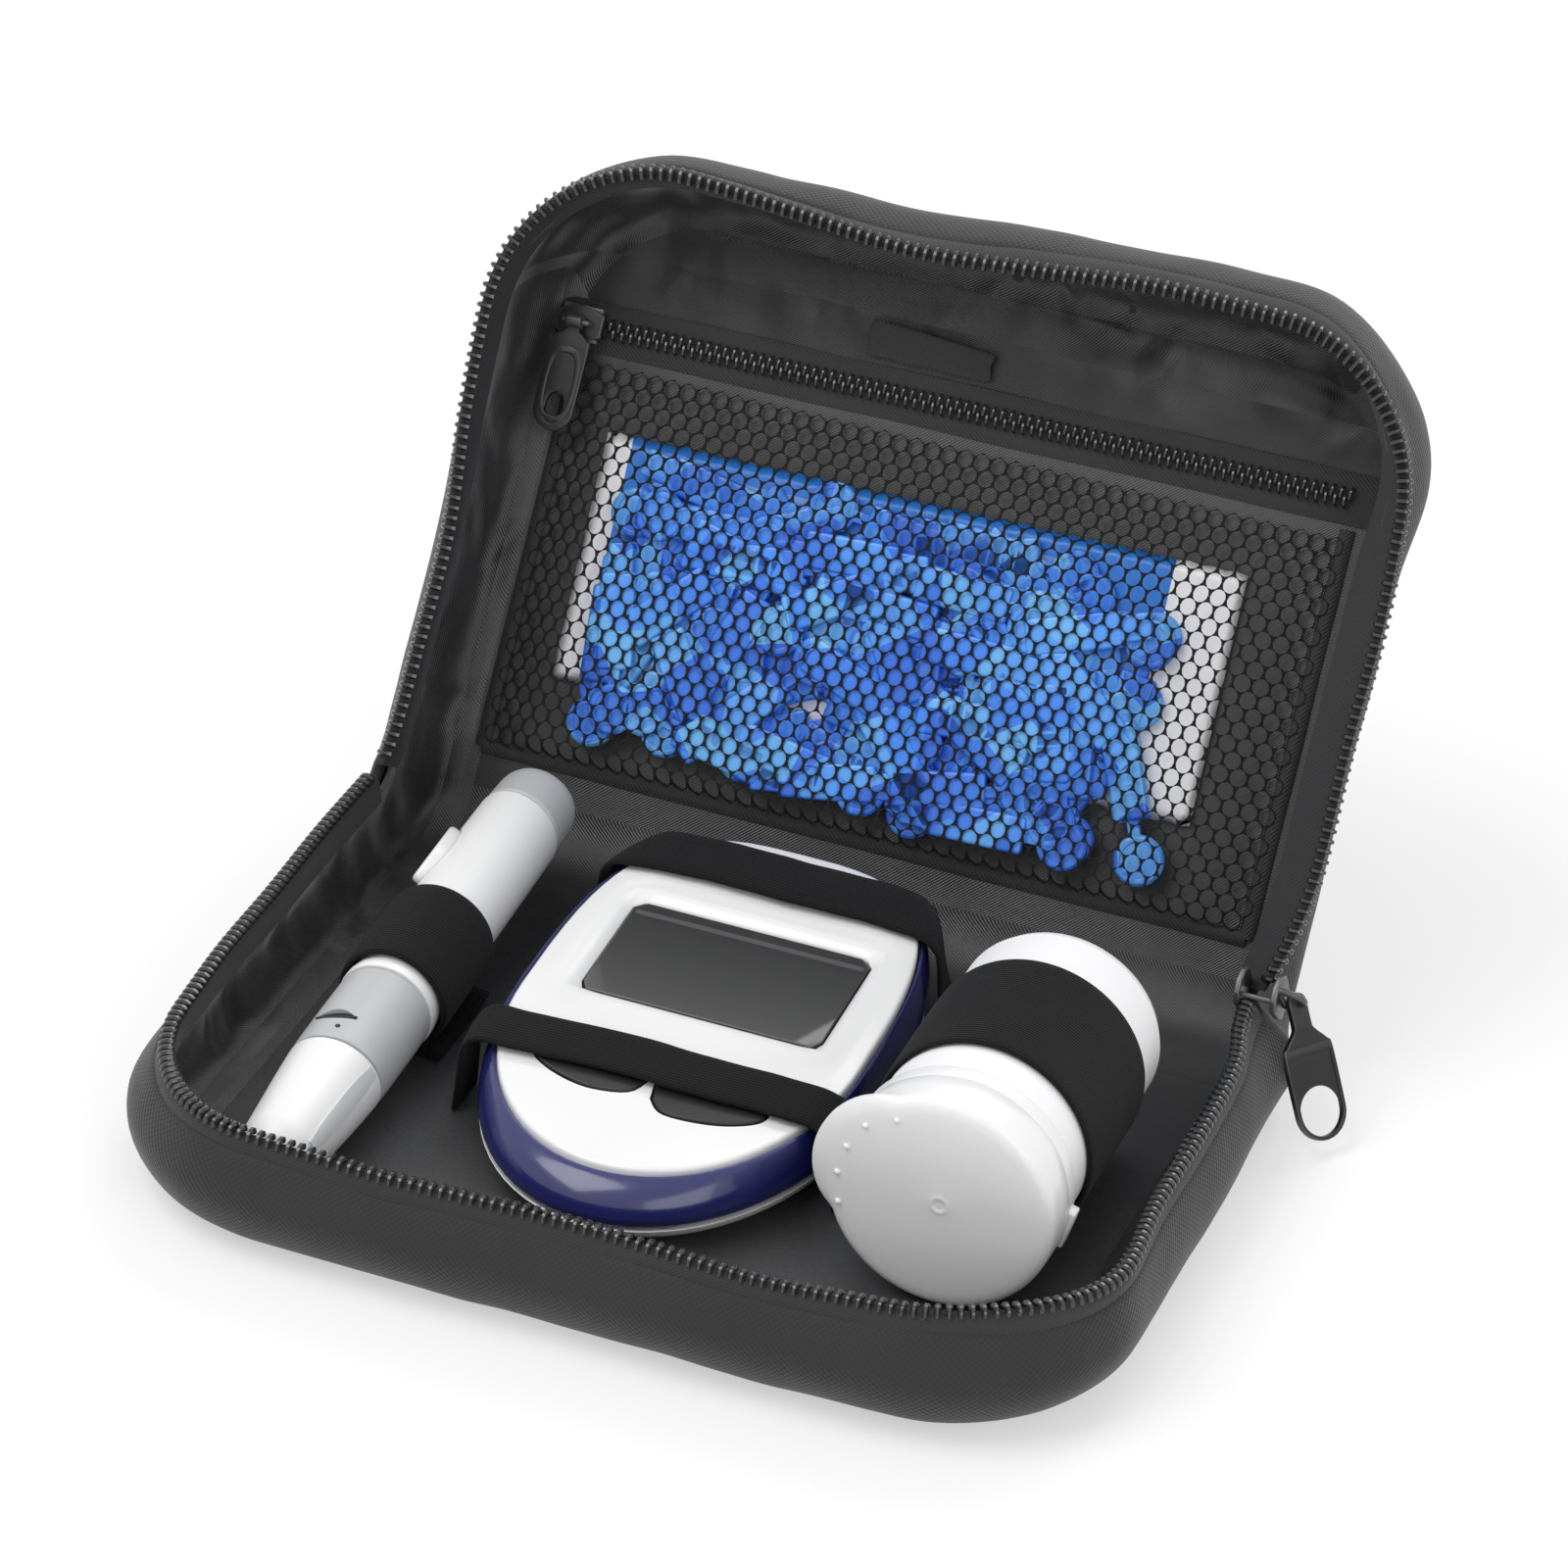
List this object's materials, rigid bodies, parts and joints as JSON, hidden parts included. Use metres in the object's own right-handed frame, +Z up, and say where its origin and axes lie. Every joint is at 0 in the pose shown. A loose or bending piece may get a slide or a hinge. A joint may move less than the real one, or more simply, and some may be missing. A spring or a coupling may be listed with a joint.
{
  "type": "blood glucose meter case",
  "caption": "Soft zip case lying open with a blood glucose meter, lancing pen and strip vial under elastic bands, and a net lid pocket",
  "frame": {"origin": "on the ground under the middle of the base half's zip outline", "axes": "X runs along the hinge to the right, -Y faces the front edge, +Z is up"},
  "size_m": [0.1759, 0.1836, 0.1115],
  "materials": {
    "nylon": "matt woven nylon over foam",
    "twill": "twill lining with a soft sheen",
    "elastic": "ribbed elastic webbing",
    "net": "knitted polyester net",
    "board": "grey stiffener board",
    "zip_coil": "nylon zip coil",
    "enamel": "black enamelled zinc",
    "white_plastic": "satin white moulding",
    "navy_plastic": "polished navy moulding",
    "grey_plastic": "satin light grey moulding",
    "black_plastic": "satin black moulding",
    "window": "dark clear window",
    "circuit": "green circuit laminate",
    "steel": "bright steel",
    "paper": "coated paper",
    "desiccant": "matt off-white sleeve",
    "blue_plastic": "clear blue moulding"
  },
  "bodies": {
    "base": {"base_shell": "nylon", "base_lining": "twill", "base_board": "board", "base_zip_tape": "nylon", "base_zip_coil": "zip_coil", "spine_shell": "nylon", "spine_lining": "twill", "front_meter_strap": "elastic", "rear_meter_strap": "elastic", "pen_loop": "elastic", "vial_loop": "elastic"},
    "lid": {"lid_shell": "nylon", "lid_lining": "twill", "lid_board": "board", "lid_zip_tape": "nylon", "lid_zip_coil": "zip_coil", "pocket_net": "net", "pocket_zip_tape": "nylon", "pocket_zip_coil": "zip_coil", "label_tab": "twill", "swab_packet": "paper", "lancet_1": "blue_plastic", "lancet_2": "blue_plastic", "lancet_3": "blue_plastic", "lancet_4": "blue_plastic", "lancet_5": "blue_plastic", "lancet_6": "blue_plastic", "lancet_7": "blue_plastic", "lancet_8": "blue_plastic", "lancet_9": "blue_plastic", "lancet_10": "blue_plastic"},
    "main_slider": {"main_slider": "enamel"},
    "main_pull": {"main_pull": "enamel"},
    "pocket_slider": {"pocket_slider": "enamel"},
    "pocket_pull": {"pocket_pull": "enamel"},
    "meter": {"meter_bottom_cover": "white_plastic", "meter_side_band": "navy_plastic", "meter_top_cover": "white_plastic", "screen_window": "window", "screen_module": "black_plastic", "circuit_board": "circuit", "strip_port": "black_plastic", "coin_cell": "steel"},
    "left_button": {"left_button": "black_plastic"},
    "right_button": {"right_button": "black_plastic"},
    "battery_door": {"battery_door": "white_plastic"},
    "vial": {"vial_tube": "white_plastic", "vial_label": "paper", "desiccant_liner": "desiccant", "test_strip_1": "paper", "test_strip_2": "paper"},
    "vial_cap": {"vial_cap": "white_plastic"},
    "pen": {"pen_barrel": "white_plastic", "depth_ring": "grey_plastic", "firing_spring": "steel"},
    "depth_cap": {"pen_front_cap": "white_plastic"},
    "cocking_sleeve": {"cocking_sleeve": "grey_plastic", "pen_plunger": "steel", "pen_lancet": "blue_plastic"},
    "release_button": {"release_button": "white_plastic"}
  },
  "joints": [
    {"name": "lid_hinge", "type": "hinge", "parent": "base", "child": "lid", "pos_m": [0, 0.05225, 0.022], "axis": [1, 0, 0], "range_deg": [-20, 121.4], "deforming": ["spine_shell", "spine_lining"]},
    {"name": "main_slider_run", "type": "slide", "parent": "base", "child": "main_slider", "axis": [0, -1, 0], "range_m": [0, 0.07]},
    {"name": "main_pull_swing", "type": "hinge", "parent": "main_slider", "child": "main_pull", "pos_m": [0.0828, 0.05263, 0.02157], "axis": [0.6916, -0.4777, 0.5418], "range_deg": [-12, 80]},
    {"name": "pocket_slider_run", "type": "slide", "parent": "lid", "child": "pocket_slider", "axis": [1, 0, 0], "range_m": [0, 0.133]},
    {"name": "pocket_pull_swing", "type": "hinge", "parent": "pocket_slider", "child": "pocket_pull", "pos_m": [-0.0685, 0.10971, 0.07948], "axis": [-1, 0, 0], "range_deg": [0, 146]},
    {"name": "meter_slide", "type": "slide", "parent": "base", "child": "meter", "axis": [0, -1, 0], "range_m": [0, 0.01]},
    {"name": "left_button_press", "type": "slide", "parent": "meter", "child": "left_button", "axis": [0, 0.0854, -0.9963], "range_m": [0, 0.0005], "stiffness_N_per_m": 400},
    {"name": "right_button_press", "type": "slide", "parent": "meter", "child": "right_button", "axis": [0, 0.0854, -0.9963], "range_m": [0, 0.0005], "stiffness_N_per_m": 400},
    {"name": "battery_door_slide", "type": "slide", "parent": "meter", "child": "battery_door", "axis": [0, -1, 0], "range_m": [0, 0.004]},
    {"name": "vial_slide", "type": "slide", "parent": "base", "child": "vial", "axis": [0, -1, 0], "range_m": [0, 0.006]},
    {"name": "vial_cap_hinge", "type": "hinge", "parent": "vial", "child": "vial_cap", "pos_m": [0.06588, -0.017, 0.01699], "axis": [0.2588, 0, 0.9659], "range_deg": [0, 15]},
    {"name": "pen_slide", "type": "slide", "parent": "base", "child": "pen", "axis": [0, -1, 0], "range_m": [0, 0.005]},
    {"name": "depth_cap_turn", "type": "hinge", "parent": "pen", "child": "depth_cap", "pos_m": [-0.0519, 0.0003, 0.0125], "axis": [0, 0.9972, 0.075], "range_deg": [0, 150]},
    {"name": "cocking_pull", "type": "slide", "parent": "pen", "child": "cocking_sleeve", "axis": [0, 0.9972, 0.075], "range_m": [0, 0.004], "stiffness_N_per_m": 500, "deforming": ["firing_spring"]},
    {"name": "release_press", "type": "slide", "parent": "pen", "child": "release_button", "axis": [0.8746, 0.0364, -0.4834], "range_m": [0, 0.0012], "stiffness_N_per_m": 500}
  ]
}
